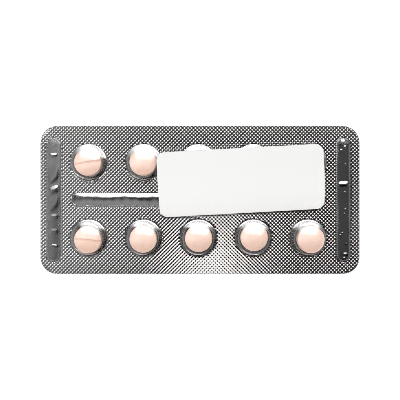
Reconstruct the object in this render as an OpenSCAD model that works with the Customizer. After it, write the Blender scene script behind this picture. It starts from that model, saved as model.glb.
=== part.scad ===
// Blister card of round tablets, lying on its foil with the pockets upwards.
// A clear formed film, a knurled lidding foil, the loose tablets and a paper label.
// Origin: middle of the foil's underside. X runs along the card, Y across it, Z up.

/* [Card] */
// Length of the card
card_l = 95; // [80:0.5:110]
// Width of the card
card_w = 44; // [38:0.5:52]
// Radius of the card's corners
corner_r = 5; // [1:0.5:6]
// Shift of the pockets and ribs along X, from forming before the card is cut out
form_shift = -0.5; // [-1:0.1:1]

/* [Film] */
// Thickness of the clear film
film_t = 0.25; // [0.2:0.01:0.35]
// Radius where a formed wall flares into the flat of the film
flare_r = 0.35; // [0.2:0.05:0.6]

/* [Pockets] */
// Pockets along the card
columns = 5; // [2:1:5]
// Distance from the card's end to the middle of the nearest pockets
end_margin = 14.8; // [14:0.1:20]
// Distance between the two rows of pockets
row_pitch = 22.5; // [21.5:0.1:24]
// Room between a tablet's edge and the pocket's foot
pocket_room = 0.95; // [0.8:0.05:1.2]
// Room between a tablet's face and the dome
dome_room = 0.6; // [0.5:0.05:1]
// Rise of the dome over the width of the foot
dome_rise = 1.8; // [1.2:0.1:1.9]
// Radius between dome and wall
shoulder_r = 0.6; // [0.4:0.1:1]
// Slope of the wall from upright, in degrees
pocket_draft = 5; // [3:1:8]

/* [Ribs] */
// Width of a rib's foot
rib_w = 3.6; // [3:0.1:4.2]
// Height of a rib's wall, below its crown
rib_wall = 0.45; // [0.4:0.05:0.7]
// Rise of a rib's crown over the width of its foot
rib_rise = 0.4; // [0.2:0.05:0.5]
// Radius between crown and wall
rib_shoulder_r = 0.4; // [0.2:0.05:0.6]
// Slope of a rib's wall from upright, in degrees
rib_draft = 30; // [26:1:40]
// Distance from the card's end to the middle of a side rib
side_rib_edge = 4.3; // [3.8:0.1:6]
// Distance from the card's long edge to the end of a side rib
side_rib_end = 3.5; // [2:0.1:8]
// How far the rib between the rows reaches past the outer pockets' middles
mid_rib_over = 5.05; // [3:0.05:6]

/* [Tablets] */
// Diameter of a tablet
tablet_d = 8; // [7:0.1:8.4]
// Thickness of a tablet at its middle
tablet_h = 4; // [3:0.1:5]
// Height of the upright band round a tablet
tablet_band = 2.2; // [1.5:0.1:2.6]
// Radius between a tablet's band and its faces
tablet_edge_r = 0.3; // [0.15:0.05:0.5]
// Width of the score line across one face
score_w = 0.7; // [0.4:0.05:1]
// Depth of the score line
score_depth = 0.25; // [0.15:0.05:0.4]

/* [Foil] */
// Thickness of the foil
foil_t = 0.03; // [0.02:0.005:0.05]
// Height of the knurl that seals the foil to the film
knurl_h = 0.12; // [0.08:0.01:0.2]
// Distance from a point of the knurl to the next dip along X
knurl_step = 1.3; // [1.2:0.05:2]
// Smooth foil left round a pocket or rib
window_rim = 0.15; // [0.05:0.05:0.4]

/* [Label] */
// Length of the label
label_l = 48.5; // [36:0.5:52]
// Width of the label, seen from above
label_w = 18.95; // [15:0.05:19.4]
// Thickness of the label
label_t = 0.1; // [0.08:0.01:0.2]
// Radius of the label's corners
label_corner_r = 2.4; // [0.5:0.1:4]
// Turn of the label on the card, in degrees
label_turn = 3.1; // [0:0.1:4]
// How far the label reaches past the last pockets' middles
label_end = 3.5; // [1:0.1:6]
// How far the label reaches over the upper row, from the row's middle
label_over = 3.8; // [2:0.1:5]
// Width of the flat strip that lies on the upper row of domes
label_flat = 5.8; // [5.4:0.1:7]
// Height of the label's lower edge over the flat of the film
label_low = 1; // [0.9:0.1:2]

/* [Hidden] */
$fn = 96;
cut = 0.05;
nudge = 0.002;
lap = 0.15;
rest_gap = 0.02;
count = 2 * columns;
row_y = row_pitch / 2;
span = card_l - 2 * end_margin;
column_pitch = span / (columns - 1);
film_z = foil_t + knurl_h;
tablet_z = foil_t + rest_gap;
tablet_cup = (tablet_h - tablet_band) / 2;
tablet_r = tablet_d / 2;
pocket_r = tablet_r + pocket_room;
pocket_depth = tablet_z + tablet_h + dome_room - film_z;
dome_top = film_z + pocket_depth + film_t;
side_rib_x = card_l / 2 - side_rib_edge;
side_rib_l = card_w - 2 * side_rib_end;
mid_rib_l = span + 2 * mid_rib_over;
cells_x = round(card_l / knurl_step);
cells_y = round(card_w / knurl_step);

// Radius of a bow that rises by the given height over a half width
function bow_r(half, rise) = (half * half + rise * rise) / (2 * rise);

// Domed shapes: half width, height, crown radius, shoulder radius and draft
POCKET = [pocket_r, pocket_depth, bow_r(pocket_r, dome_rise), shoulder_r, pocket_draft];
RIB = [rib_w / 2, rib_wall + rib_rise, bow_r(rib_w / 2, rib_rise), rib_shoulder_r, rib_draft];
TABLET = [tablet_r, tablet_h / 2, bow_r(tablet_r, tablet_cup), tablet_edge_r, 0];

// Where each tablet has come to rest, as a share of its free play, and how far it is turned
REST = [
    [0.5, -0.3], [0.3, -0.2], [0.2, 0.2], [0, -0.3], [-0.2, 0.2],
    [0.5, -0.75], [0.3, -0.4], [0.2, 0], [0.1, 0.5], [0.65, -0.65]
];
TURN = [8, -12, 40, 75, -30, -6, 15, -50, 25, 60];
play = inside_at(POCKET, tablet_z + tablet_h - tablet_cup - film_z) - tablet_r - rest_gap;

// Tablets in the first column lie with the score line up, and the others with it down
function face_up(k) = k % columns == 0;
function pocket_at(k) = [
    form_shift + (k % columns) * column_pitch - span / 2,
    k < columns ? row_y : -row_y
];

// A slice of a circle between two directions
module pie(r, from, to) {
    middle = (from + to) / norm(from + to);
    intersection() {
        circle(r);
        polygon([[0, 0], 2 * r * from, 2 * r * middle, 2 * r * to]);
    }
}

// A rectangle with round corners
module rounded(l, w, r) {
    square([l - 2 * r, w], center = true);
    square([l, w - 2 * r], center = true);
    for (x = [-1, 1]) {
        for (y = [-1, 1]) {
            translate([x * (l / 2 - r), y * (w / 2 - r)]) pie(r, [x, 0], [0, y]);
        }
    }
}

// Centres of a domed shape's flare, crown and shoulder, as distance from its axis and height
function flare_at(f) = [
    f[0] + (film_t + flare_r) * (1 / cos(f[4]) - tan(f[4])),
    film_t + flare_r
];
function crown_at(f) = [0, f[1] - f[2]];
function shoulder_at(f) =
    let (slope = tan(f[4]))
    let (edge = f[0] - f[3] / cos(f[4]))
    let (crown_z = f[1] - f[2])
    let (a = 1 + slope * slope)
    let (b = edge * slope + crown_z)
    let (c = edge * edge + crown_z * crown_z - pow(f[2] - f[3], 2))
    let (z = (b + sqrt(b * b - a * c)) / a)
    [edge - z * slope, z];

// Half width inside a domed shape at a height z
function inside_at(f, z) =
    let (s = shoulder_at(f))
    z < s[1] + f[3] * sin(f[4])
        ? f[0] - z * tan(f[4])
        : s[0] + sqrt(f[3] * f[3] - pow(z - s[1], 2));

// Half section of a domed shape over a foot of points, grown by g.
// Neighbouring arcs and lines cross by a nudge where they would only touch.
module dome_half(f, g, base, foot) {
    wall = [cos(f[4]), sin(f[4])];
    crown = crown_at(f);
    shoulder = shoulder_at(f);
    up = (shoulder - crown) / norm(shoulder - crown);
    reach = (crown + (f[2] + g) * up)[0];
    polygon(concat(
        [[0, base]],
        foot,
        [shoulder + (f[3] + g - nudge) * wall, shoulder, [0, shoulder[1]]]
    ));
    intersection() {
        translate(shoulder) circle(f[3] + g);
        translate([0, base]) square([2 * f[0], 2 * f[1]]);
    }
    intersection() {
        translate(crown) circle(f[2] + g - nudge);
        translate([0, shoulder[1] - f[3] / 2]) square([reach, 2 * f[1]]);
    }
}

// Half section of a form in the film, with its flared foot
module form_half(f, g, base) {
    wall = [cos(f[4]), sin(f[4])];
    bow = film_t + flare_r - g;
    flare = flare_at(f);
    difference() {
        dome_half(f, g, base, [[flare[0], base], flare, flare - (bow + nudge) * wall]);
        translate(flare) circle(bow + 2 * nudge);
    }
}

// Half section of the film over a form
module skin_half(f) {
    difference() {
        form_half(f, film_t, 0);
        form_half(f, 0, -cut);
    }
}

// A rib's film, lying along X
module rib_skin(length) {
    run = length - 2 * flare_at(RIB)[0];
    for (turn = [0, 180]) {
        rotate(turn) {
            translate([run / 2, 0, 0]) rotate(-90) rotate_extrude(angle = 180) skin_half(RIB);
            translate([-run / 2, 0, 0]) rotate([90, 0, 90]) linear_extrude(run) skin_half(RIB);
        }
    }
}

// Hole in the flat of the film for a rib, lying along X. The rib's foot laps over its edge.
module rib_hole(length) {
    half = flare_at(RIB)[0] - lap;
    run = length - 2 * half - 2 * lap;
    square([run, 2 * half], center = true);
    for (x = [-1, 1]) {
        translate([x * run / 2, 0]) intersection() {
            circle(half);
            translate([x * half, 0]) square(2 * half, center = true);
        }
    }
}

// Places for the two side ribs and the rib between the rows
module at_ribs() {
    for (x = [-side_rib_x, side_rib_x]) {
        translate([form_shift + x, 0]) rotate(90) children(0);
    }
    translate([form_shift, 0]) children(1);
}

module blister_film() {
    color([0.86, 0.89, 0.9, 0.3]) translate([0, 0, film_z]) {
        linear_extrude(film_t) difference() {
            rounded(card_l, card_w, corner_r);
            for (k = [0:count - 1]) {
                translate(pocket_at(k)) circle(flare_at(POCKET)[0] - lap);
            }
            at_ribs() {
                rib_hole(side_rib_l);
                rib_hole(mid_rib_l);
            }
        }
        for (k = [0:count - 1]) {
            translate(pocket_at(k)) rotate_extrude() skin_half(POCKET);
        }
        at_ribs() {
            rib_skin(side_rib_l);
            rib_skin(mid_rib_l);
        }
    }
}

// Knurl: a grid of points, every other one raised, left flat under pockets and ribs
function grid_at(i, j) = [(i / cells_x - 0.5) * card_l, (j / cells_y - 0.5) * card_w];
function rib_gap(p, length) =
    let (half = flare_at(RIB)[0])
    norm([max(abs(p[0]) - length / 2 + half, 0), p[1]]) - half;
function sealed(p) =
    let (x = p[0] - form_shift)
    let (pocket = min([for (k = [0:count - 1]) norm(p - pocket_at(k))]) - flare_at(POCKET)[0])
    let (side = rib_gap([p[1], abs(x) - side_rib_x], side_rib_l))
    let (middle = rib_gap([x, p[1]], mid_rib_l))
    min(pocket, side, middle) > window_rim;

module knurled_sheet() {
    row = cells_y + 1;
    half = (cells_x + 1) * row;
    lift = [
        for (i = [0:cells_x])
            for (j = [0:cells_y])
                (i + j) % 2 == 0 && sealed(grid_at(i, j)) ? knurl_h : 0
    ];
    points = [
        for (side = [foil_t, 0])
            for (i = [0:cells_x])
                for (j = [0:cells_y])
                    concat(grid_at(i, j), side + lift[i * row + j])
    ];
    upper = [
        for (i = [0:cells_x - 1])
            for (j = [0:cells_y - 1])
                let (a = i * row + j)
                let (b = a + row)
                each (i + j) % 2 == 0
                    ? [[a, a + 1, b], [b + 1, b, a + 1]]
                    : [[b, a, b + 1], [a + 1, b + 1, a]]
    ];
    lower = [for (f = upper) [half + f[2], half + f[1], half + f[0]]];
    rim = concat(
        [for (i = [0:cells_x - 1]) i * row],
        [for (j = [0:cells_y - 1]) cells_x * row + j],
        [for (i = [cells_x:-1:1]) i * row + cells_y],
        [for (j = [cells_y:-1:1]) j]
    );
    walls = [
        for (n = [0:len(rim) - 1])
            let (a = rim[n])
            let (b = rim[(n + 1) % len(rim)])
            each [[a, b, half + a], [half + b, half + a, b]]
    ];
    polyhedron(points, concat(upper, lower, walls));
}

// What is cut off one corner of the foil, seen from the corner's centre
module corner_waste(x, y) {
    out = corner_r + 1;
    difference() {
        polygon([
            [0, y * corner_r],
            [0, y * out],
            [x * out, y * out],
            [x * out, 0],
            [x * corner_r, 0],
            [x, y] * corner_r / 3
        ]);
        circle(corner_r);
    }
}

module lidding_foil() {
    color([0.72, 0.73, 0.75]) difference() {
        knurled_sheet();
        for (x = [-1, 1]) {
            for (y = [-1, 1]) {
                translate([x * (card_l / 2 - corner_r), y * (card_w / 2 - corner_r), -cut])
                    linear_extrude(film_z + 2 * cut) corner_waste(x, y);
            }
        }
    }
}

// A tablet, lying on Z = 0 with its score line up
module whole_tablet() {
    cup_r = bow_r(tablet_r, tablet_cup);
    translate([0, 0, tablet_h / 2]) difference() {
        rotate_extrude() {
            for (flip = [0, 1]) {
                mirror([0, flip]) dome_half(TABLET, 0, -cut, [[tablet_r - nudge, -cut]]);
            }
        }
        translate([0, 0, tablet_h / 2 - cup_r]) rotate([90, 0, 0]) rotate_extrude() polygon([
            [cup_r - score_depth, 0],
            [cup_r + score_depth, score_w],
            [cup_r + score_depth, -score_w]
        ]);
    }
}

module tablet(k) {
    at = pocket_at(k) + play * REST[k % len(REST)];
    color([0.93, 0.77, 0.69]) translate([at[0], at[1], tablet_z]) rotate(TURN[k % len(TURN)]) {
        if (face_up(k)) {
            whole_tablet();
        } else {
            translate([0, 0, tablet_h]) rotate([180, 0, 0]) whole_tablet();
        }
    }
}

// Side view of the label: a flat strip, then a bend down to the lower edge
module label_side() {
    run = label_w - label_flat;
    drop = dome_top + rest_gap - film_z - film_t - label_low;
    bend_r = bow_r(run, drop);
    bend = asin(run / bend_r);
    translate([-label_flat, 0]) square([label_flat, label_t]);
    translate([-label_flat, -bend_r]) difference() {
        pie(bend_r + label_t, [0, 1], [-sin(bend), cos(bend)]);
        circle(bend_r);
    }
}

module label() {
    at_x = form_shift + span / 2 + label_end - label_l / 2;
    color([0.95, 0.95, 0.95]) translate([at_x, row_y + label_over, dome_top + rest_gap]) rotate(label_turn)
        intersection() {
            rotate([90, 0, 90]) linear_extrude(label_l, center = true) label_side();
            translate([0, -label_w / 2, -dome_top]) linear_extrude(2 * dome_top)
                rounded(label_l, label_w, label_corner_r);
        }
}

lidding_foil();
blister_film();
label();
for (k = [1:count]) {
    tablet(k - 1);
}
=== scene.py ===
"""Looks of a tablet blister card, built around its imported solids.

The solids give every shape its place. The clear film and the tablets keep their
solids and get finishes of their own. The foil and the paper label are replaced by
finer surfaces. All lengths in the dataclasses are millimetres, as in the part's source.
"""

from __future__ import annotations

import logging
import math
from dataclasses import dataclass, field
from enum import Enum

import bpy
import numpy as np
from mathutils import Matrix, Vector

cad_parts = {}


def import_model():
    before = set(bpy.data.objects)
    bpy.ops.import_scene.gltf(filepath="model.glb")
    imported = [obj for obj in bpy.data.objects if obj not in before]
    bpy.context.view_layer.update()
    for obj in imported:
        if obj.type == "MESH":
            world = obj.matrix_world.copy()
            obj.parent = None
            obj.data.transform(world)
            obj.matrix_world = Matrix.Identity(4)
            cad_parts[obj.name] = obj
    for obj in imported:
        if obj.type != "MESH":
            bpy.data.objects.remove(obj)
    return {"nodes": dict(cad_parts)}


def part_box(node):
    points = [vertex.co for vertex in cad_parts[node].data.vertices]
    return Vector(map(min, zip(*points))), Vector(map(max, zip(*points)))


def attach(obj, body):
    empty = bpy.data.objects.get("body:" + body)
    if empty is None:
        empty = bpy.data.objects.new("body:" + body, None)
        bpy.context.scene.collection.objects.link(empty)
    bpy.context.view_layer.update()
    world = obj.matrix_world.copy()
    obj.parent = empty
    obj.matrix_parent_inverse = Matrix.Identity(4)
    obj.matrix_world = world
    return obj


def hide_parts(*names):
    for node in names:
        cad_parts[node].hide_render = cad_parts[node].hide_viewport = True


LOG = logging.getLogger("blister_card")
MM = 0.001
TINY = 1e-9
WHITE = (1.0, 1.0, 1.0, 1.0)
ROOT = "root"


class Slot(Enum):
    """Material slots of the record."""

    FOIL = "foil"
    PAPER = "paper_label"


class Reach(Enum):
    """Which surfaces a panel lights: all, only matt ones, or only glossy ones."""

    ALL = "all"
    MATT = "matt"
    SHINE = "shine"


# Small helpers


def linear(hex_colour: str) -> tuple[float, float, float, float]:
    """Turns an sRGB hex colour into linear values.

    Args:
        hex_colour: colour such as "#ffffff".

    Returns:
        Red, green, blue and an alpha of 1.
    """
    parts = [int(hex_colour[k : k + 2], 16) / 255 for k in (1, 3, 5)]
    low = [c / 12.92 for c in parts]
    high = [((c + 0.055) / 1.055) ** 2.4 for c in parts]
    r, g, b = (a if c <= 0.04045 else h for c, a, h in zip(parts, low, high))
    return (r, g, b, 1.0)


def add(
    tree: bpy.types.NodeTree,
    kind: str,
    inputs: dict[str | int, object] | None = None,
    **settings: object,
) -> bpy.types.Node:
    """Adds a node, sets its properties, and fills or links its inputs.

    Args:
        tree: node tree that gets the node.
        kind: Blender's name for the node.
        inputs: input names or numbers, each with a value or a socket to link from.
        settings: properties of the node.

    Returns:
        The new node.
    """
    node = tree.nodes.new(kind)
    for name, value in settings.items():
        setattr(node, name, value)
    for name, value in (inputs or {}).items():
        if isinstance(value, bpy.types.NodeSocket):
            tree.links.new(value, node.inputs[name])
        else:
            node.inputs[name].default_value = value
    return node


def new_material(name: str) -> tuple[bpy.types.Material, bpy.types.NodeTree]:
    """Makes an empty node material.

    Args:
        name: the real material's name.

    Returns:
        The material and its node tree, with no nodes.
    """
    material = bpy.data.materials.new(name)
    material.use_nodes = True
    material.node_tree.nodes.clear()
    return material, material.node_tree


def mesh_piece(
    name: str,
    points: np.ndarray,
    faces: np.ndarray,
    material: bpy.types.Material,
    smooth: np.ndarray | bool = True,
) -> bpy.types.Object:
    """Puts whole arrays of points and faces into a mesh object at the origin.

    Args:
        name: name of the piece.
        points: positions in millimetres, one row each.
        faces: corner numbers, one row of three or four each.
        material: finish of the piece.
        smooth: whether faces are shaded smooth, for all or for each.

    Returns:
        The new object.
    """
    mesh = bpy.data.meshes.new(name)
    count, per_face = faces.shape
    mesh.vertices.add(len(points))
    mesh.vertices.foreach_set("co", (points * MM).astype(np.float32).ravel())
    mesh.loops.add(count * per_face)
    mesh.loops.foreach_set("vertex_index", faces.astype(np.int32).ravel())
    mesh.polygons.add(count)
    mesh.polygons.foreach_set("loop_start", np.arange(count, dtype=np.int32) * per_face)
    flags = np.broadcast_to(np.asarray(smooth, bool), (count,))
    mesh.polygons.foreach_set("use_smooth", flags)
    mesh.update(calc_edges=True)
    mesh.validate()
    mesh.materials.append(material)
    piece = bpy.data.objects.new(name, mesh)
    bpy.context.collection.objects.link(piece)
    return piece


def grid_quads(nu: int, nv: int, closed: bool = False) -> np.ndarray:
    """Quads of a grid of numbered points, counter-clockwise from u to v.

    Args:
        nu: points along u.
        nv: points along v.
        closed: whether both directions run round to their start, as on a ring.

    Returns:
        Corner numbers, one row of four each.
    """
    number = np.arange(nu * nv).reshape(nu, nv)
    if closed:
        number = np.pad(number, ((0, 1), (0, 1)), mode="wrap")
    rows = [number[:-1, :-1], number[1:, :-1], number[1:, 1:], number[:-1, 1:]]
    return np.stack(rows, axis=-1).reshape(-1, 4)


def shell(top: np.ndarray, under: np.ndarray) -> tuple[np.ndarray, np.ndarray, int]:
    """Closes two grids of points, one over the other, with a wall round their edge.

    Args:
        top: upper grid, whose u and v turn counter-clockwise seen from above.
        under: lower grid of the same shape.

    Returns:
        Points, quads, and how many of the quads, the last ones, are the wall.
    """
    nu, nv = top.shape[:2]
    n = nu * nv
    number = np.arange(n).reshape(nu, nv)
    quads = grid_quads(nu, nv)
    sides = [number[:-1, 0], number[-1, :-1], number[:0:-1, -1], number[0, :0:-1]]
    loop = np.concatenate(sides)
    ahead = np.roll(loop, -1)
    wall = np.column_stack([ahead, loop, loop + n, ahead + n])
    points = np.concatenate([top.reshape(-1, 3), under.reshape(-1, 3)])
    return points, np.concatenate([quads, quads[:, ::-1] + n, wall]), len(wall)


# Sizes


@dataclass(frozen=True)
class CardPlan:
    """Sizes of the card, in millimetres, as in the part's source."""

    length: float = 95.0
    width: float = 44.0
    corner_r: float = 5.0
    shift: float = -0.5
    columns: int = 5
    end_margin: float = 14.8
    row_pitch: float = 22.5
    pocket_foot: float = 5.5
    rib_foot: float = 2.15
    side_rib_edge: float = 4.3
    side_rib_end: float = 3.5
    mid_rib_over: float = 5.05
    foil_t: float = 0.03
    knurl_h: float = 0.12
    film_t: float = 0.25
    dome_top: float = 4.9

    def row_span(self) -> float:
        """Distance between the middles of a row's first and last pocket."""
        return self.length - 2 * self.end_margin

    def pockets(self) -> np.ndarray:
        """Places the pockets in two rows, evenly spaced along the card.

        Returns:
            Middles of the pockets, the upper row first, one row of x and y each.
        """
        span = self.row_span()
        x = self.shift + np.linspace(-span / 2, span / 2, self.columns)
        rows = [np.column_stack([x, np.full_like(x, s * self.row_pitch / 2)]) for s in (1, -1)]
        return np.concatenate(rows)

    def ribs(self) -> np.ndarray:
        """Places the ribs: one along each short side, and one between the rows.

        Returns:
            Middle lines of the left, right and middle rib, one row of two end points each.
        """
        x = self.length / 2 - self.side_rib_edge
        y = self.width / 2 - self.side_rib_end - self.rib_foot
        reach = self.length / 2 - self.end_margin + self.mid_rib_over - self.rib_foot
        lines = [[-x, -y, -x, y], [x, -y, x, y], [-reach, 0, reach, 0]]
        return np.array(lines) + [self.shift, 0, self.shift, 0]

    def window(self, p: np.ndarray) -> tuple[np.ndarray, np.ndarray]:
        """Signed distance to the nearest smooth window of the foil, and the way out of it.

        A pocket's window is a disc and a rib's is a line with round ends.

        Args:
            p: points, one row of x and y each.

        Returns:
            Distances, negative inside a window, and unit vectors that point outwards.
        """
        away = [p - c for c in self.pockets()]
        size = [self.pocket_foot] * len(away)
        for x0, y0, x1, y1 in self.ribs():
            start, run = np.array([x0, y0]), np.array([x1 - x0, y1 - y0])
            along = np.clip((p - start) @ run / (run @ run), 0, 1)
            away.append(p - start - along[:, None] * run)
            size.append(self.rib_foot)
        stack = np.stack(away)
        dist = np.linalg.norm(stack, axis=2)
        gap = dist - np.array(size)[:, None]
        near = gap.argmin(axis=0)
        pick = np.arange(len(p))
        out = stack[near, pick] / np.maximum(dist[near, pick], TINY)[:, None]
        return gap[near, pick], out


# Finishes


@dataclass(frozen=True)
class RolledFoil:
    """Hard aluminium foil as it leaves the rolls.

    Real rolling lines are a few hundredths of a millimetre apart. They are drawn line_mm apart,
    coarse enough to show, and stretch times as long as that. The relief is the bump's strength.
    """

    colour: str = "#b0b0b0"
    line_mm: float = 0.35
    stretch: float = 24.0
    noise_span: tuple[float, float] = (0.3, 0.7)
    smoothest: float = 0.06
    dullest: float = 0.12
    relief: float = 0.06
    relief_mm: float = 0.05

    def material(self) -> bpy.types.Material:
        """Metal whose roughness and bump follow rolling lines that run along X.

        Returns:
            The material.
        """
        # Bare metal mirrors the room, bright and dark side by side. The rolling lines take its
        # edge off unevenly, so that a reflection looks drawn out along the card.
        material, tree = new_material("rolled aluminium foil")
        place = add(tree, "ShaderNodeTexCoord")
        per_line = 1 / (self.line_mm * MM)
        drawn = add(
            tree,
            "ShaderNodeMapping",
            {
                "Vector": place.outputs["Object"],
                "Scale": (per_line / self.stretch, per_line, per_line),
            },
        )
        lines = add(
            tree,
            "ShaderNodeTexNoise",
            {"Vector": drawn.outputs["Vector"], "Scale": 1.0, "Detail": 3.0},
        )
        rough = add(
            tree,
            "ShaderNodeMapRange",
            {
                "Value": lines.outputs["Fac"],
                "From Min": self.noise_span[0],
                "From Max": self.noise_span[1],
                "To Min": self.smoothest,
                "To Max": self.dullest,
            },
        )
        bump = add(
            tree,
            "ShaderNodeBump",
            {
                "Height": lines.outputs["Fac"],
                "Strength": self.relief,
                "Distance": self.relief_mm * MM,
            },
        )
        metal = add(
            tree,
            "ShaderNodeBsdfPrincipled",
            {
                "Base Color": linear(self.colour),
                "Metallic": 1.0,
                "Roughness": rough.outputs["Result"],
                "Normal": bump.outputs["Normal"],
            },
        )
        add(tree, "ShaderNodeOutputMaterial", {"Surface": metal.outputs["BSDF"]})
        return material


@dataclass(frozen=True)
class FormedFilm:
    """Clear rigid PVC film, heat formed over a mould.

    PVC has an IOR of about 1.53. It is raised here until the reflections on the domes are as
    bright as the object's. The low walls, between the two heights in dull_mm, mirror only
    dull_share of that: the ribs' walls and the pockets' feet hardly shine on the object.
    """

    tint: str = "#fefefe"
    ior: float = 1.75
    roughness: float = 0.1
    wave_mm: float = 2.4
    relief: float = 0.04
    relief_mm: float = 0.1
    dull_share: float = 0.3
    dull_mm: tuple[float, float] = (0.45, 1.25)
    dull_edge_mm: float = 0.05

    def material(self) -> bpy.types.Material:
        """A thin clear sheet: what it doesn't mirror by Fresnel's law, it lets through.

        Light isn't bent here, so the law is the same from either side of a face: the IOR is raised
        to the power 1 on a front and -1 on a back.

        Returns:
            The material.
        """
        # A glossy skin over everything: white glints on steep walls, next to nothing on the
        # flat, and slightly wavy outlines where the warm film didn't quite settle.
        material, tree = new_material("clear formed PVC film")
        place = add(tree, "ShaderNodeTexCoord")
        waves = add(
            tree,
            "ShaderNodeTexNoise",
            {"Vector": place.outputs["Object"], "Scale": 1 / (self.wave_mm * MM), "Detail": 2.0},
        )
        bump = add(
            tree,
            "ShaderNodeBump",
            {
                "Height": waves.outputs["Fac"],
                "Strength": self.relief,
                "Distance": self.relief_mm * MM,
            },
        )
        face = add(tree, "ShaderNodeNewGeometry")
        power = add(
            tree,
            "ShaderNodeMath",
            {0: face.outputs["Backfacing"], 1: -2.0, 2: 1.0},
            operation="MULTIPLY_ADD",
        )
        ior = add(tree, "ShaderNodeMath", {0: self.ior, 1: power.outputs[0]}, operation="POWER")
        law = add(
            tree,
            "ShaderNodeFresnel",
            {"IOR": ior.outputs[0], "Normal": bump.outputs["Normal"]},
        )
        axes = add(tree, "ShaderNodeSeparateXYZ", {"Vector": place.outputs["Object"]})
        low, high = self.dull_mm
        half = (high - low) / 2 * MM
        off = add(
            tree,
            "ShaderNodeMath",
            {0: axes.outputs["Z"], 1: (low + high) / 2 * MM},
            operation="SUBTRACT",
        )
        span = add(tree, "ShaderNodeMath", {0: off.outputs[0]}, operation="ABSOLUTE")
        sheen = add(
            tree,
            "ShaderNodeMapRange",
            {
                "Value": span.outputs[0],
                "From Min": half,
                "From Max": half + self.dull_edge_mm * MM,
                "To Min": self.dull_share,
                "To Max": 1.0,
            },
        )
        share = add(
            tree,
            "ShaderNodeMath",
            {0: law.outputs["Fac"], 1: sheen.outputs["Result"]},
            operation="MULTIPLY",
        )
        through = add(tree, "ShaderNodeBsdfTransparent", {"Color": linear(self.tint)})
        mirror = add(
            tree,
            "ShaderNodeBsdfAnisotropic",
            {"Color": WHITE, "Roughness": self.roughness, "Normal": bump.outputs["Normal"]},
        )
        sheet = add(
            tree,
            "ShaderNodeMixShader",
            {0: share.outputs[0], 1: through.outputs["BSDF"], 2: mirror.outputs["BSDF"]},
        )
        add(tree, "ShaderNodeOutputMaterial", {"Surface": sheet.outputs["Shader"]})
        return material


@dataclass(frozen=True)
class TabletCoat:
    """Pale pink film coat, sprayed on a pressed tablet.

    The real grain is that of the pressed powder, about 0.05 mm. It is drawn at grain_mm, coarse
    enough to show.
    """

    pale: str = "#f6d5c3"
    deep: str = "#eec0aa"
    mottle_mm: float = 1.1
    grain_mm: float = 0.12
    relief: float = 0.15
    relief_mm: float = 0.02
    roughness: float = 0.5
    specular: float = 0.9

    def material(self) -> bpy.types.Material:
        """Satin coat, with mottled colour and a fine grain from the powder under it.

        Returns:
            The material.
        """
        # A soft satin sheen that washes out to white towards the light, over a pink that is
        # a little uneven where the spray built up.
        material, tree = new_material("pink tablet film coat")
        place = add(tree, "ShaderNodeTexCoord")
        mottle = add(
            tree,
            "ShaderNodeTexNoise",
            {"Vector": place.outputs["Object"], "Scale": 1 / (self.mottle_mm * MM), "Detail": 4.0},
        )
        colour = add(
            tree,
            "ShaderNodeMix",
            {0: mottle.outputs["Fac"], 6: linear(self.deep), 7: linear(self.pale)},
            data_type="RGBA",
        )
        grain = add(
            tree,
            "ShaderNodeTexNoise",
            {"Vector": place.outputs["Object"], "Scale": 1 / (self.grain_mm * MM), "Detail": 2.0},
        )
        bump = add(
            tree,
            "ShaderNodeBump",
            {
                "Height": grain.outputs["Fac"],
                "Strength": self.relief,
                "Distance": self.relief_mm * MM,
            },
        )
        coat = add(
            tree,
            "ShaderNodeBsdfPrincipled",
            {
                "Base Color": colour.outputs[2],
                "Roughness": self.roughness,
                "Specular IOR Level": self.specular,
                "Normal": bump.outputs["Normal"],
            },
        )
        add(tree, "ShaderNodeOutputMaterial", {"Surface": coat.outputs["BSDF"]})
        return material


@dataclass(frozen=True)
class LabelPaper:
    """Coated white label paper.

    Real fibres are a few hundredths of a millimetre wide. They are drawn as flecks of fibre_mm,
    coarse enough to show.
    """

    colour: str = "#f4f4f3"
    shade: str = "#eeeeed"
    fibre_mm: float = 0.5
    relief: float = 0.1
    relief_mm: float = 0.02
    roughness: float = 0.8

    def material(self) -> bpy.types.Material:
        """White paper, with fibres that shade it and roughen it a little.

        Returns:
            The material.
        """
        # An even, matt white without glints, very slightly cloudy from the fibres.
        material, tree = new_material("white label paper")
        place = add(tree, "ShaderNodeTexCoord")
        fibre = add(
            tree,
            "ShaderNodeTexNoise",
            {"Vector": place.outputs["Object"], "Scale": 1 / (self.fibre_mm * MM), "Detail": 5.0},
        )
        colour = add(
            tree,
            "ShaderNodeMix",
            {0: fibre.outputs["Fac"], 6: linear(self.shade), 7: linear(self.colour)},
            data_type="RGBA",
        )
        bump = add(
            tree,
            "ShaderNodeBump",
            {
                "Height": fibre.outputs["Fac"],
                "Strength": self.relief,
                "Distance": self.relief_mm * MM,
            },
        )
        paper = add(
            tree,
            "ShaderNodeBsdfPrincipled",
            {
                "Base Color": colour.outputs[2],
                "Roughness": self.roughness,
                "Normal": bump.outputs["Normal"],
            },
        )
        add(tree, "ShaderNodeOutputMaterial", {"Surface": paper.outputs["BSDF"]})
        return material


@dataclass(frozen=True)
class PaleFloor:
    """Plain white studio floor, which isn't part of the object."""

    colour: str = "#fdfdfd"
    glow: float = 0.12

    def material(self) -> bpy.types.Material:
        """Matt white that glows a little, as an overlit sweep does.

        Returns:
            The material.
        """
        # So much light that the floor burns out to an even white.
        material, tree = new_material("white studio floor")
        matt = add(
            tree,
            "ShaderNodeBsdfPrincipled",
            {
                "Base Color": linear(self.colour),
                "Roughness": 1.0,
                "Specular IOR Level": 0.0,
                "Emission Color": WHITE,
                "Emission Strength": self.glow,
            },
        )
        add(tree, "ShaderNodeOutputMaterial", {"Surface": matt.outputs["BSDF"]})
        return material


# Sub-assemblies


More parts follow.
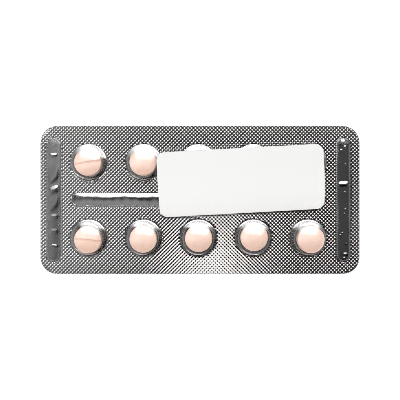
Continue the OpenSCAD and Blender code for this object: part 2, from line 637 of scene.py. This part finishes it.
@dataclass
class LiddingFoil:
    """The foil: knurled where it is sealed to the film, flat under pockets and ribs.

    The snap is the share of a square's side within which a point moves onto a window's rim. It
    stays just under a quarter, because at more a facet folded over.
    """

    plan: CardPlan
    finish: RolledFoil = field(default_factory=RolledFoil)
    knurl_pitch: float = 1.09
    snap: float = 0.249

    def sheet(self) -> tuple[np.ndarray, np.ndarray, np.ndarray]:
        """Upper face of the foil: squares whose middles are peaks and pits in turn.

        They alternate as on a chequerboard. A square's corners lie half way up, so its four
        facets face the four sides of the card. Points near a window's rim move onto it, and
        triangles outside a round corner go.

        Returns:
            Points of x, y and lift, triangles that face upwards, and which of them are smooth.
        """
        plan, side = self.plan, self.knurl_pitch / 2
        cells = np.array([round(plan.length / side), round(plan.width / side)])
        card = np.array([plan.length, plan.width])
        i, j = np.meshgrid(np.arange(cells[0] + 1), np.arange(cells[1] + 1), indexing="ij")
        corner = np.column_stack([i.ravel(), j.ravel()])
        middle = corner.reshape(*i.shape, 2)[:-1, :-1].reshape(-1, 2) + 0.5
        flat = (np.concatenate([corner, middle]) / cells - 0.5) * card
        peak = middle.astype(int).sum(axis=1) % 2
        lift = plan.knurl_h * np.concatenate([np.full(len(corner), 0.5), peak])
        a = (i * (cells[1] + 1) + j)[:-1, :-1].ravel()
        ring = np.stack([a, a + cells[1] + 1, a + cells[1] + 2, a + 1])
        hub = np.broadcast_to(len(corner) + np.arange(len(middle)), ring.shape)
        faces = np.stack([hub, ring, np.roll(ring, -1, axis=0)], axis=-1).reshape(-1, 3)
        faces = faces[self.corner_gap(flat[faces].mean(axis=1)) < 0]
        gap, out = plan.window(flat)
        near = np.abs(gap) < self.snap * side
        flat = np.where(near[:, None], flat - gap[:, None] * out, flat)
        inside = near | (gap < 0)
        lift = np.where(inside, 0, lift)
        edge = np.unique(self.rim(faces))
        flat[edge] = self.round_off(flat[edge])
        smooth = inside[faces].all(axis=1)
        return np.column_stack([flat, lift]), faces, smooth

    def corner_gap(self, p: np.ndarray) -> np.ndarray:
        """Distance of points outside the card's outline with its round corners.

        Args:
            p: points, one row of x and y each.

        Returns:
            Distances, negative inside.
        """
        r = self.plan.corner_r
        q = np.abs(p) - [self.plan.length / 2 - r, self.plan.width / 2 - r]
        return np.linalg.norm(np.maximum(q, 0), axis=1) - r

    def round_off(self, p: np.ndarray) -> np.ndarray:
        """Moves points in the corners' squares along a ray onto the corner's arc.

        Args:
            p: points, one row of x and y each.

        Returns:
            The points, those outside the corners' squares as they were.
        """
        r = self.plan.corner_r
        inner = np.array([self.plan.length / 2 - r, self.plan.width / 2 - r])
        q = np.abs(p) - inner
        dist = np.maximum(np.linalg.norm(q, axis=1), TINY)[:, None]
        moved = np.sign(p) * (inner + q / dist * r)
        return np.where((q > 0).all(axis=1)[:, None], moved, p)

    @staticmethod
    def rim(faces: np.ndarray) -> np.ndarray:
        """Edges that only one triangle has, each in that triangle's direction.

        Args:
            faces: triangles, one row of corner numbers each.

        Returns:
            The edges, one row of two corner numbers each.
        """
        edges = np.concatenate([faces[:, [0, 1]], faces[:, [1, 2]], faces[:, [2, 0]]])
        _, where, count = np.unique(
            np.sort(edges, axis=1), axis=0, return_index=True, return_counts=True
        )
        return edges[where[count == 1]]

    def build(self) -> bpy.types.Object:
        """Closes the upper face with a lower one and a thin edge, and makes the piece.

        Returns:
            The foil, which stands for the coarse foil of the solids.
        """
        upper, faces, smooth = self.sheet()
        used, faces = np.unique(faces, return_inverse=True)
        faces = faces.reshape(-1, 3)
        upper = upper[used]
        n = len(upper)
        edge = self.rim(faces)
        a, b = edge[:, 0], edge[:, 1]
        points = np.concatenate([upper + [0, 0, self.plan.foil_t], upper])
        wall = np.concatenate([np.column_stack([b, a, a + n]), np.column_stack([b, a + n, b + n])])
        every = np.concatenate([faces, faces[:, ::-1] + n, wall])
        shading = np.concatenate([smooth, smooth, np.zeros(len(wall), bool)])
        piece = mesh_piece("knurled_foil", points, every, self.finish.material(), shading)
        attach(piece, ROOT)
        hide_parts("lidding_foil")
        return piece


@dataclass(frozen=True)
class Crease:
    """A fold or a dent of the loose foil in a side rib: a rounded ridge, at a slant.

    The side is -1 for the left rib and 1 for the right one, and off is the ridge's place across
    the rib. Its sizes are half sizes. Across, its section is a bell curve, wider towards +Y by
    the factor ease, and along, it is a flatter bell, of the fourth power.
    """

    side: int
    y: float
    height: float = 0.1
    half_width: float = 0.3
    slant: float = 0.0
    half_length: float = 1.1
    off: float = 0.0
    ease: float = 1.0

    def lift(self, x: np.ndarray, y: np.ndarray) -> np.ndarray:
        """Height of the ridge.

        Args:
            x: places across the rib, from its middle line.
            y: places along the rib, from the card's middle.

        Returns:
            Heights at these places.
        """
        across = (y - self.y - self.slant * x) / self.half_width
        across = np.where(across > 0, across / self.ease, across)
        along = (x - self.off) / self.half_length
        return self.height * np.exp(-(across**2) - along**4)


@dataclass
class LooseFoil:
    """The foil that isn't sealed: it stands up in a ring round each tablet and under each rib.

    Grids give numbers of points: a ring's inside its crest, outside it and round, and a rib's
    along and across. The pair of ripples is for the left and the right rib. A rib's strip ends at
    the share rib_tip of its round end, and all undersides are sunk a little in the sealed foil.
    The creases are the left rib's folds, from the top down, and the right rib's fold and specks.
    """

    plan: CardPlan
    finish: RolledFoil = field(default_factory=RolledFoil)
    ring_r: float = 3.5
    ring_h: float = 0.41
    ring_inner: float = 1.7
    ring_slope: float = 1.3
    ring_waves: tuple[float, float] = (0.1, 0.07)
    ring_phase: float = 2.4
    ring_grid: tuple[int, int, int] = (7, 19, 96)
    lip_h: float = 0.19
    lip_wide: tuple[float, float] = (0.6, 0.25)
    lip_turn: float = 250.0
    lip_wander: float = 0.3
    lip_change: float = 0.15
    lip_spread: float = 1.5
    rib_arch: float = 0.31
    rib_taper: float = 5.0
    rib_hem: float = 0.16
    hem_place: float = -0.87
    hem_wide: float = 0.12
    rib_ripple: tuple[float, float] = (0.04, 0.012)
    ripple_mm: float = 5.2
    rib_tip: float = 0.995
    rib_grid: tuple[int, int] = (321, 33)
    sunk: float = 0.003
    creases: tuple[Crease, ...] = (
        Crease(-1, 13.4, 0.12, 0.42, 0.06, 1.0),
        Crease(-1, 6.4, 0.12, 1.0, 0.75, 1.5, -0.1, 2.5),
        Crease(-1, 3.0, 0.23, 0.9, 0.36, 1.4),
        Crease(-1, -1.9, 0.12, 1.0, 0.85, 1.5, 0.0, 2.5),
        Crease(-1, -4.9, 0.11, 0.9, 0.05, 1.3, 0.0, 0.65),
        Crease(-1, -9.3, 0.115, 0.9, 0.05, 1.3, 0.0, 0.65),
        Crease(-1, -13.6, 0.12, 0.38, -0.12, 1.0, 0.3),
        Crease(1, 17.3, 0.06, 0.6, 0.0, 0.6, -0.1),
        Crease(1, 15.9, 0.05, 0.25, 0.0, 0.35, 0.5),
        Crease(1, 14.9, 0.04, 0.22, 0.0, 0.3, -0.6),
        Crease(1, 4.7, 0.175, 0.6, 0.05, 1.4),
        Crease(1, 10.6, 0.04, 0.2, 0.0, 0.2, 0.6),
        Crease(1, 2.4, 0.055, 0.2, 0.0, 0.2, 0.5),
        Crease(1, -2.8, 0.065, 0.22, 0.0, 0.25, 0.6),
        Crease(1, -4.1, 0.065, 0.22, 0.0, 0.3, 0.4),
        Crease(1, -9.8, 0.08, 0.22, 0.0, 0.25, -0.3),
        Crease(1, -10.5, 0.075, 0.2, 0.0, 0.25, -0.9),
        Crease(1, -13.0, 0.075, 0.2, 0.0, 0.25, 0.9),
        Crease(1, -16.1, 0.12, 0.32, 0.0, 0.6, 0.6),
        Crease(1, -17.3, 0.11, 0.3, 0.0, 0.4, 0.3),
    )

    def rings(self) -> tuple[np.ndarray, np.ndarray]:
        """Ring round each tablet: a parabola inside its crest, and a nearly straight slope outside.

        Two and five sine waves round the ring change its height, from pocket to pocket in another
        place. On the lower side a lip rises to the pocket's foot, with straight sides and as high
        as a power of the cosine round the ring. The ring ends earlier there to leave it room.
        The factors 1.3 and 1.7 keep the lips' directions and heights from changing in step.

        Returns:
            Points and quads of all the rings.
        """
        foot, crest = self.plan.pocket_foot, self.ring_r
        up, down = self.lip_wide
        inside, outside, around = self.ring_grid
        inner = np.linspace(self.ring_inner, crest, inside)
        r = np.concatenate([inner, np.linspace(crest, foot, outside)[1:]])
        middle = self.plan.pockets()
        turn = np.linspace(0, 2 * math.pi, around, endpoint=False)[:, None]
        phase = self.ring_phase * np.arange(len(middle))[:, None, None]
        two, five = self.ring_waves
        wave = 1 + two * np.sin(2 * turn + phase) + five * np.sin(5 * turn + 2 * phase)
        aim = math.radians(self.lip_turn) + self.lip_wander * np.sin(1.3 * phase)
        low = np.maximum(np.cos(turn - aim), 0) ** self.lip_spread
        low = low * (1 - self.lip_change + self.lip_change * np.sin(1.7 * phase))
        end = foot - (up + down) * low
        rise = 1 - (np.maximum(crest - r, 0) / (crest - self.ring_inner)) ** 2
        fall = (np.maximum(r - crest, 0) / (end - crest)) ** self.ring_slope
        ring = self.ring_h * wave * np.maximum(rise - fall, 0) * (end - crest) / (foot - crest)
        lip = low * np.clip((r - end) / up, 0, 1) * np.clip((foot - r) / down, 0, 1)
        z = self.plan.foil_t + ring + self.lip_h * lip
        r = np.append(r, [foot, self.ring_inner])
        z = np.pad(z, ((0, 0), (0, 0), (0, 2)), constant_values=self.plan.foil_t - self.sunk)
        x = middle[:, 0, None, None] + np.cos(turn) * r
        y = middle[:, 1, None, None] + np.sin(turn) * r
        points = np.stack([x, y, z], axis=-1)
        quads = grid_quads(len(turn), len(r), closed=True)[:, ::-1]
        steps = len(turn) * len(r) * np.arange(len(middle))
        return points.reshape(-1, 3), (quads + steps[:, None, None]).reshape(-1, 4)

    def rib(self, line: np.ndarray, middle: bool) -> tuple[np.ndarray, np.ndarray]:
        """Foil under a rib: a strip with round ends, lifted where it isn't sealed.

        Its half width is that of the rib's foot, and at the ends the half chord of a circle.

        Args:
            line: the rib's two end points.
            middle: whether it is the middle rib.

        Returns:
            Points and quads.
        """
        start, end = line[:2], line[2:]
        half = np.linalg.norm(end - start) / 2
        way = (end - start) / (2 * half)
        foot = self.plan.rib_foot
        reach = half + self.rib_tip * foot
        long, wide = self.rib_grid
        s, t = np.meshgrid(
            np.linspace(-reach, reach, long), np.linspace(-1, 1, wide), indexing="ij"
        )
        share = np.sqrt(1 - (np.maximum(np.abs(s) - half, 0) / foot) ** 2)
        flat = (start + end) / 2 + s[..., None] * way
        flat = flat + (t * foot * share)[..., None] * np.array([-way[1], way[0]])
        if middle:
            lift = self.arch(flat[..., 0], t, reach - np.abs(s)) * share
        else:
            lift = self.folds(flat, line[0], (1 - t * t) * share)
        top = np.dstack([flat, self.plan.foil_t + lift])
        under = np.dstack([flat, np.full_like(lift, self.plan.foil_t - self.sunk)])
        points, quads, _ = shell(top, under)
        return points, quads

    def arch(self, x: np.ndarray, t: np.ndarray, rest: np.ndarray) -> np.ndarray:
        """Lift under the middle rib: two half parabolas that meet at a crest, and a hem.

        Sine waves along the rib change the crest's height and let it wander sideways, and it gets
        lower in a straight line towards the rib's ends. The hem along the lower edge is a narrow
        bell curve, broken up by two more sine waves.

        Args:
            x: places along the card.
            t: places across the rib, from -1 to 1.
            rest: distances from the rib's nearer end.

        Returns:
            Heights over the sealed foil.
        """
        k = 2 * math.pi / self.ripple_mm
        wavy = 1 + 0.12 * np.sin(0.55 * k * x + 1) + 0.06 * np.sin(1.9 * k * x)
        taper = np.minimum(1, (rest + 1) / self.rib_taper)
        crest = 0.05 + 0.1 * np.sin(0.42 * k * x + 0.6) + 0.02 * np.sin(1.35 * k * x)
        side = np.where(t > crest, 1 - crest, 0.8 + crest)
        bulge = np.maximum(1 - ((t - crest) / side) ** 2, 0)
        broken = 0.5 + 0.3 * np.sin(2.9 * k * x) + 0.2 * np.sin(1.1 * k * x + 2)
        hem = np.exp(-(((t - self.hem_place) / self.hem_wide) ** 2)) * np.minimum((1 + t) / 0.1, 1)
        return self.rib_arch * wavy * bulge * taper + self.rib_hem * broken * hem

    def folds(self, flat: np.ndarray, middle_x: float, bow: np.ndarray) -> np.ndarray:
        """Lift under a side rib: two low sine waves that cross, and the rib's creases.

        Args:
            flat: places on the card, x and y.
            middle_x: place of the rib's middle line.
            bow: parabola across the rib, which keeps its edge down.

        Returns:
            Heights over the sealed foil.
        """
        x, y = flat[..., 0], flat[..., 1]
        k = 2 * math.pi / self.ripple_mm
        wave = 0.5 + 0.25 * (np.sin(k * (y + 0.3 * x)) + np.sin(0.63 * k * (y - 0.8 * x) + 1))
        right = bool(middle_x > self.plan.shift)
        creases = sum(c.lift(x - middle_x, y) for c in self.creases if (c.side > 0) == right)
        return self.rib_ripple[right] * wave * bow + creases * np.minimum(2 * bow, 1)

    def build(self) -> list[bpy.types.Object]:
        """Makes one piece of the rings and one of the foil under each rib.

        Returns:
            The four pieces, which lie on the sealed foil.
        """
        left, right, middle = self.plan.ribs()
        forms = {
            "rings": self.rings(),
            "left": self.rib(left, False),
            "right": self.rib(right, False),
            "middle": self.rib(middle, True),
        }
        metal = self.finish.material()
        pieces = [mesh_piece(f"loose_foil_{part}", *form, metal) for part, form in forms.items()]
        for piece in pieces:
            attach(piece, ROOT)
        return pieces


@dataclass
class PaperLabel:
    """The sticker: it lies on the upper row of domes and bends down to its lower edge.

    The dip is the depth of its free corner and how far from the corner it starts. The sag fades
    from the upper edge down, by the first number less the second times the share of the width.
    """

    plan: CardPlan
    finish: LabelPaper = field(default_factory=LabelPaper)
    length: float = 48.5
    width: float = 18.95
    thickness: float = 0.1
    corner_r: float = 2.4
    turn: float = 3.1
    end: float = 3.5
    over: float = 3.8
    flat: float = 5.8
    low: float = 1.0
    clearance: float = 0.02
    sag: float = 0.12
    sag_fade: tuple[float, float] = (1.4, 1.6)
    dip: tuple[float, float] = (0.45, 7.0)
    cells: tuple[int, int] = (160, 64)

    def bend(self) -> tuple[float, float]:
        """The arc that has the drop and the run of the label's lower part.

        Returns:
            Its radius and its angle.
        """
        base = self.plan.foil_t + self.plan.knurl_h + self.plan.film_t
        run = self.width - self.flat
        drop = self.plan.dome_top + self.clearance - base - self.low
        radius = (run * run + drop * drop) / (2 * drop)
        return radius, math.asin(run / radius)

    def rounded(self, u: np.ndarray, v: np.ndarray, tall: float) -> tuple[np.ndarray, np.ndarray]:
        """Pulls a rectangle's grid into round corners: a corner's square shrinks onto its disc.

        Args:
            u: places along the label, from its middle.
            v: places across the label, from its middle.
            tall: flat width of the label.

        Returns:
            The moved places.
        """
        r = self.corner_r
        qu = np.maximum(np.abs(u) - (self.length / 2 - r), 0)
        qv = np.maximum(np.abs(v) - (tall / 2 - r), 0)
        pull = np.maximum(qu, qv) / np.maximum(np.hypot(qu, qv), TINY)
        pull = np.where((qu > 0) & (qv > 0), pull, 1.0)
        return u - np.sign(u) * qu * (1 - pull), v - np.sign(v) * qv * (1 - pull)

    def surface(self) -> np.ndarray:
        """Underside of the label: flat along the domes, then a circular bend down.

        Between the domes the paper sags a little, as a cosine of the pockets' pitch, and its free
        lower left corner dips as a square of the distance.

        Returns:
            Points on the grid, in the card's frame.
        """
        radius, angle = self.bend()
        tall = self.flat + radius * angle
        u, v = np.meshgrid(
            np.linspace(-self.length / 2, self.length / 2, self.cells[0] + 1),
            np.linspace(-tall / 2, tall / 2, self.cells[1] + 1),
            indexing="ij",
        )
        u, v = self.rounded(u, v, tall)
        down = tall / 2 - v
        arc = np.maximum(down - self.flat, 0) / radius
        y = -(np.minimum(down, self.flat) + radius * np.sin(arc))
        z = -radius * (1 - np.cos(arc))
        span = self.plan.row_span()
        pitch = span / (self.plan.columns - 1)
        wave = 0.5 - 0.5 * np.cos(2 * math.pi * (self.length / 2 - self.end - u) / pitch)
        full, fade = self.sag_fade
        z -= self.sag * wave * np.clip(full - fade * down / tall, 0, 1)
        deep, reach = self.dip
        corner = (u + self.length / 2) + (v + tall / 2)
        z -= deep * np.maximum(1 - corner / reach, 0) ** 2
        cos, sin = math.cos(math.radians(self.turn)), math.sin(math.radians(self.turn))
        x0 = self.plan.shift + span / 2 + self.end - self.length / 2
        y0 = self.plan.row_pitch / 2 + self.over
        z0 = self.plan.dome_top + self.clearance
        return np.stack([x0 + u * cos - y * sin, y0 + u * sin + y * cos, z0 + z], axis=-1)

    def build(self) -> bpy.types.Object:
        """Gives the sheet its thickness upwards and makes the piece.

        Returns:
            The label, which stands for the label of the solids.
        """
        under = self.surface()
        points, faces, wall = shell(under + [0, 0, self.thickness], under)
        shading = np.arange(len(faces)) < len(faces) - wall
        piece = mesh_piece("paper_label", points, faces, self.finish.material(), shading)
        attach(piece, ROOT)
        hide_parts("label")
        return piece


@dataclass
class CarriedSolids:
    """Solids whose shape is right as it is: the formed film and the tablets."""

    nodes: dict[str, bpy.types.Object]
    film: FormedFilm = field(default_factory=FormedFilm)
    coat: TabletCoat = field(default_factory=TabletCoat)

    def dress(self) -> list[bpy.types.Object]:
        """Gives each solid its finish.

        Returns:
            The dressed objects.
        """
        film, coat = self.film.material(), self.coat.material()
        dressed = []
        for name, node in self.nodes.items():
            if name == "blister_film" or name.startswith("tablet_"):
                material = film if name == "blister_film" else coat
                for slot in node.material_slots:
                    slot.material = material
                dressed.append(node)
        return dressed


# Studio


@dataclass(frozen=True)
class Softbox:
    """A diffuser panel that faces the card, brightest in its middle.

    Angles are in degrees as seen from the card: side towards +X and tilt towards +Y.
    The fade is the share of each half size over which the light falls off to nothing.
    Its reach says whether matt and glossy surfaces take its light. Solids whose names start
    with linked are the only ones that take it, or the only ones that don't if they are shut out.
    """

    name: str
    side: float
    tilt: float
    half_side: float
    half_tilt: float
    radiance: float
    fade: tuple[float, float] = (1.0, 1.0)
    distance: float = 500.0
    reach: Reach = Reach.ALL
    linked: str = ""
    shut_out: bool = False

    def build(self, solids: dict[str, bpy.types.Object]) -> bpy.types.Object:
        """Hangs the panel so that it faces the card.

        Args:
            solids: the card's solids and new pieces by name.

        Returns:
            The light.
        """
        lamp = bpy.data.lights.new(self.name, "AREA")
        lamp.shape = "RECTANGLE"
        reach = 2 * self.distance * MM
        lamp.size = reach * math.tan(math.radians(self.half_side))
        lamp.size_y = reach * math.tan(math.radians(self.half_tilt))
        lamp.energy = self.radiance * math.pi * lamp.size * lamp.size_y
        light = bpy.data.objects.new(self.name, lamp)
        side, tilt = math.tan(math.radians(self.side)), math.tan(math.radians(self.tilt))
        way = Vector((side, tilt, 1.0)).normalized()
        turn = way.to_track_quat("Z", "Y")
        light.location = way * self.distance * MM
        light.rotation_euler = turn.to_euler()
        across = turn @ Vector((2 / lamp.size, 0, 0))
        along = turn @ Vector((0, 2 / lamp.size_y, 0))
        self.diffuse(lamp, light.location, (across, along))
        light.visible_glossy = self.reach is not Reach.MATT
        light.visible_diffuse = self.reach is not Reach.SHINE
        if self.linked:
            self.link(light, solids)
        bpy.context.collection.objects.link(light)
        return light

    def link(self, light: bpy.types.Object, solids: dict[str, bpy.types.Object]) -> None:
        """Gives the light to the linked solids alone, or to all but them.

        Args:
            light: the panel's light.
            solids: the card's solids and new pieces by name.
        """
        group = bpy.data.collections.new(self.name + "_solids")
        for name, solid in solids.items():
            if name.startswith(self.linked):
                group.objects.link(solid)
        for item in group.collection_objects:
            item.light_linking.link_state = "EXCLUDE" if self.shut_out else "INCLUDE"
        light.light_linking.receiver_collection = group

    def diffuse(self, lamp: bpy.types.Light, middle: Vector, axes: tuple[Vector, Vector]) -> None:
        """Lets the panel's light fall off towards its edges, as a smooth step across and along.

        Args:
            lamp: light that gets the nodes.
            middle: place of the panel's middle.
            axes: the panel's two directions, each over its half size.
        """
        lamp.use_nodes = True
        tree = lamp.node_tree
        tree.nodes.clear()
        spot = add(tree, "ShaderNodeNewGeometry")
        off = add(
            tree,
            "ShaderNodeVectorMath",
            {0: spot.outputs["Position"], 1: middle},
            operation="SUBTRACT",
        )
        level: bpy.types.NodeSocket | float = 1.0
        for axis, share in zip(axes, self.fade):
            part = add(
                tree, "ShaderNodeVectorMath", {0: off.outputs[0], 1: axis}, operation="DOT_PRODUCT"
            )
            far = add(tree, "ShaderNodeMath", {0: part.outputs["Value"]}, operation="ABSOLUTE")
            step = add(
                tree,
                "ShaderNodeMapRange",
                {
                    "Value": far.outputs[0],
                    "From Min": 1.0 - share,
                    "From Max": 1.0,
                    "To Min": 1.0,
                    "To Max": 0.0,
                },
                interpolation_type="SMOOTHSTEP",
            )
            both = add(
                tree, "ShaderNodeMath", {0: step.outputs["Result"], 1: level}, operation="MULTIPLY"
            )
            level = both.outputs[0]
        glow = add(tree, "ShaderNodeEmission", {"Strength": level})
        add(tree, "ShaderNodeOutputLight", {"Surface": glow.outputs["Emission"]})


# The large light behind the card's upper edge, which the foil mirrors and the paper scatters.
KEY_PANELS = (
    Softbox("key_panel", 2.0, 25.5, 37.0, 14.5, 3.2, (0.6, 0.4), linked="blister", shut_out=True),
    Softbox("matt_key", -4.0, 25.5, 45.0, 14.5, 1.4, (0.6, 0.4), reach=Reach.MATT),
)

# White caps on the domes, and the sheen that washes out the tablets' upper halves.
GLOSS_PANELS = (
    Softbox(
        "dome_panel", 8.0, 49.0, 48.0, 42.0, 4.0, (0.5, 0.9),
        reach=Reach.SHINE, linked="blister",
    ),
    Softbox(
        "coat_panel", 0.0, 18.0, 62.0, 36.0, 9.0, (0.5, 0.9),
        reach=Reach.SHINE, linked="tablet",
    ),
)

# Light from the front, and two glows that the knurl shows along the card's lower edge.
FRONT_PANELS = (
    Softbox("front_fill", 0.0, -45.0, 45.0, 25.0, 4.0, reach=Reach.MATT),
    Softbox("low_glow_left", -25.2, -9.0, 9.0, 7.5, 3.4, linked="knurled"),
    Softbox("low_glow_right", 27.8, -9.0, 10.0, 7.5, 3.4, linked="knurled"),
)

# Grey cards close by, which lift the left side and give the ribs' folds something to mirror.
CARDS = (
    Softbox(
        "left_card", -50.0, -8.0, 36.0, 45.0, 0.6,
        distance=170.0, linked="loose_foil", shut_out=True,
    ),
    Softbox("fold_card", -50.0, -14.0, 36.0, 45.0, 0.36, distance=170.0, linked="loose_foil_left"),
    Softbox("fold_top", -22.0, 14.0, 20.0, 14.0, 0.5, distance=170.0, linked="loose_foil_left"),
    Softbox(
        "fold_glow", 2.0, -8.0, 20.0, 34.0, 0.1, (0.5, 0.6),
        distance=140.0, linked="loose_foil_left",
    ),
    Softbox(
        "right_card", 31.0, 0.0, 16.0, 40.0, 0.11, (0.5, 0.5),
        distance=140.0, linked="loose_foil",
    ),
    Softbox(
        "rib_glow", -15.0, -22.0, 26.0, 30.0, 0.5, (0.7, 0.8),
        reach=Reach.SHINE, linked="loose_foil_middle",
    ),
)


@dataclass
class Studio:
    """Floor, light and camera. The camera looks straight down on the middle of the card.

    The card's share is that of its length in the picture's width. The room is the grey light from
    the left and from the right, and the horizon is a paler band low down. Their spans are the
    shares of a direction's x and z over which each fades.
    """

    plan: CardPlan
    solids: dict[str, bpy.types.Object]
    camera_height: float = 175.0
    card_share: float = 318.6 / 400
    sensor: float = 36.0
    clip: tuple[float, float] = (1.0, 5000.0)
    pixel_filter: float = 0.6
    room: tuple[float, float] = (0.1, 0.006)
    room_span: tuple[float, float] = (-0.5, 0.15)
    horizon: float = 0.7
    horizon_span: tuple[float, float] = (0.28, 0.5)
    floor_size: float = 1400.0
    floor_drop: float = 0.02
    panels: tuple[Softbox, ...] = KEY_PANELS + GLOSS_PANELS + FRONT_PANELS + CARDS

    def build(self) -> bpy.types.Object:
        """Makes the floor, the light and the camera.

        Returns:
            The camera.
        """
        self.floor()
        for panel in self.panels:
            panel.build(self.solids)
        self.world()
        scene = bpy.context.scene
        scene.view_settings.view_transform = "Standard"
        scene.cycles.filter_width = self.pixel_filter
        lens = bpy.data.cameras.new("camera")
        lens.sensor_width = self.sensor
        lens.lens = self.sensor * self.camera_height * self.card_share / self.plan.length
        lens.clip_start, lens.clip_end = (c * MM for c in self.clip)
        camera = bpy.data.objects.new("camera", lens)
        camera.location = (0, 0, self.camera_height * MM)
        bpy.context.collection.objects.link(camera)
        scene.camera = camera
        return camera

    def floor(self) -> None:
        """Lays a large square sheet just under the card."""
        square = np.array([[-1, -1, 0], [1, -1, 0], [1, 1, 0], [-1, 1, 0]]) * self.floor_size / 2
        points = square - [0, 0, self.floor_drop]
        sheet = mesh_piece("floor", points, np.array([[0, 1, 2, 3]]), PaleFloor().material())

    def world(self) -> None:
        """Fills the room with a little grey light, most of it from the left, over the horizon."""
        world = bpy.data.worlds.new("studio room")
        world.use_nodes = True
        tree = world.node_tree
        tree.nodes.clear()
        way = add(tree, "ShaderNodeTexCoord")
        axes = add(tree, "ShaderNodeSeparateXYZ", {0: way.outputs["Generated"]})
        bands = [
            add(
                tree,
                "ShaderNodeMapRange",
                {
                    "Value": axes.outputs[axis],
                    "From Min": span[0],
                    "From Max": span[1],
                    "To Min": levels[0],
                    "To Max": levels[1],
                },
                interpolation_type="SMOOTHSTEP",
            )
            for axis, span, levels in (
                ("X", self.room_span, self.room),
                ("Z", self.horizon_span, (self.horizon, 0.0)),
            )
        ]
        both = add(
            tree,
            "ShaderNodeMath",
            {k: band.outputs["Result"] for k, band in enumerate(bands)},
            operation="ADD",
        )
        grey = add(tree, "ShaderNodeBackground", {"Color": WHITE, "Strength": both.outputs[0]})
        add(tree, "ShaderNodeOutputWorld", {"Surface": grey.outputs["Background"]})
        bpy.context.scene.world = world


# Building


def main() -> None:
    """Builds the card's looks piece by piece and reports each one."""
    logging.basicConfig(level=logging.INFO, format="%(name)s: %(message)s")
    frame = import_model()
    solids = dict(frame["nodes"])
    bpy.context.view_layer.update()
    plan = CardPlan(dome_top=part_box("blister_film")[1].z / MM)
    for piece in CarriedSolids(solids).dress():
        LOG.info("dressed %s", piece.name)
    for piece in (LiddingFoil(plan).build(), *LooseFoil(plan).build(), PaperLabel(plan).build()):
        LOG.info("built %s with %d faces", piece.name, len(piece.data.polygons))
        solids[piece.name] = piece
    Studio(plan, solids).build()


if __name__ == "__main__":
    main()
